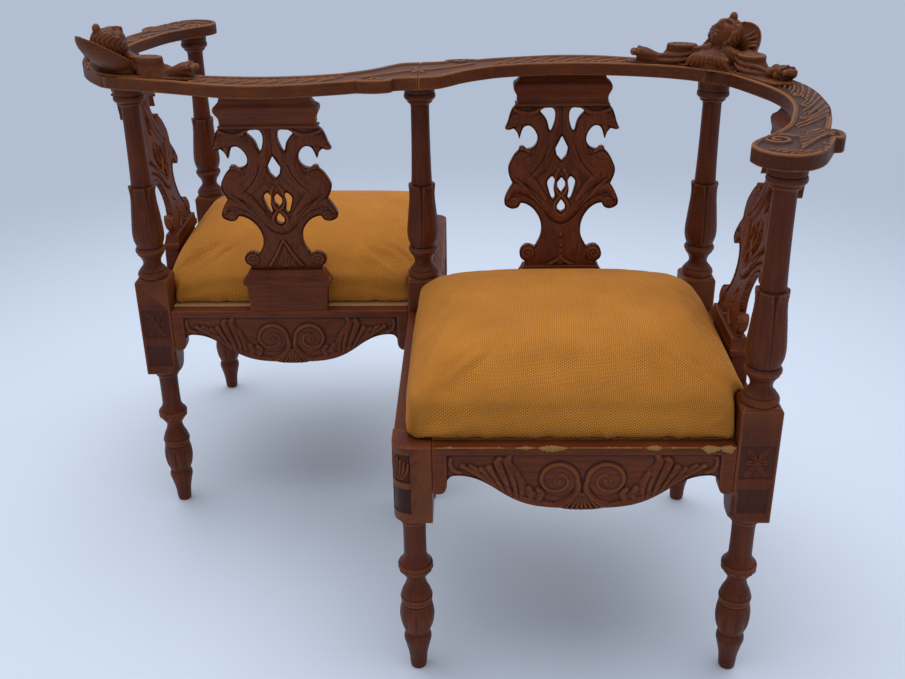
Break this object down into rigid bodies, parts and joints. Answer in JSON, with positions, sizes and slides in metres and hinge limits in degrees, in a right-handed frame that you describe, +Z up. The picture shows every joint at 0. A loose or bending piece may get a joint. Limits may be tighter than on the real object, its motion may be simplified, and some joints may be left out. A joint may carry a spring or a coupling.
{
  "type": "confidante",
  "caption": "Carved walnut conversation settee: seats facing opposite ways under an S-shaped rail, with pierced splats, turned legs and stuffed pads.",
  "frame": {"origin": "on the floor under the axis of the centre post, which is also the middle of the object's box", "axes": "+X along the backs towards seat A's arm, +Y from seat A towards seat B, +Z up; the object is its own half turn about +Z"},
  "size_m": [1.1884, 1.0202, 0.9095],
  "materials": {
    "turned_walnut": "turned, stained and waxed walnut, worn lighter on the edges",
    "carved_walnut": "carved, stained and waxed walnut, worn lighter on the high spots",
    "beech": "plain sawn beech, unfinished",
    "mustard_cloth": "coarse woven upholstery cloth, mustard",
    "jute_webbing": "woven jute webbing",
    "spring_steel": "dull coppered steel wire"
  },
  "bodies": {
    "root": {"a_back_leg": "turned_walnut", "a_arm_leg": "turned_walnut", "a_front_leg": "turned_walnut", "a_back_column": "turned_walnut", "a_arm_column": "turned_walnut", "a_back_apron": "carved_walnut", "a_back_batten": "beech", "a_side_apron": "carved_walnut", "a_side_batten": "beech", "a_front_apron": "carved_walnut", "a_front_batten": "beech", "a_open_apron": "carved_walnut", "a_open_batten": "beech", "a_back_splat": "carved_walnut", "a_back_splat_cap": "carved_walnut", "a_back_splat_shoe": "carved_walnut", "a_side_splat": "carved_walnut", "a_side_splat_cap": "carved_walnut", "a_side_splat_shoe": "carved_walnut", "a_back_rail": "carved_walnut", "a_arm_rail": "carved_walnut", "a_crest": "carved_walnut", "a_seat_pad": "mustard_cloth", "a_webbing": "jute_webbing", "a_spring_1": "spring_steel", "a_spring_2": "spring_steel", "a_spring_3": "spring_steel", "a_spring_4": "spring_steel", "b_back_leg": "turned_walnut", "b_arm_leg": "turned_walnut", "b_front_leg": "turned_walnut", "b_back_column": "turned_walnut", "b_arm_column": "turned_walnut", "b_back_apron": "carved_walnut", "b_back_batten": "beech", "b_side_apron": "carved_walnut", "b_side_batten": "beech", "b_front_apron": "carved_walnut", "b_front_batten": "beech", "b_open_apron": "carved_walnut", "b_open_batten": "beech", "b_back_splat": "carved_walnut", "b_back_splat_cap": "carved_walnut", "b_back_splat_shoe": "carved_walnut", "b_side_splat": "carved_walnut", "b_side_splat_cap": "carved_walnut", "b_side_splat_shoe": "carved_walnut", "b_back_rail": "carved_walnut", "b_arm_rail": "carved_walnut", "b_crest": "carved_walnut", "b_seat_pad": "mustard_cloth", "b_webbing": "jute_webbing", "b_spring_1": "spring_steel", "b_spring_2": "spring_steel", "b_spring_3": "spring_steel", "b_spring_4": "spring_steel", "centre_leg": "turned_walnut", "centre_column": "turned_walnut"}
  },
  "joints": []
}
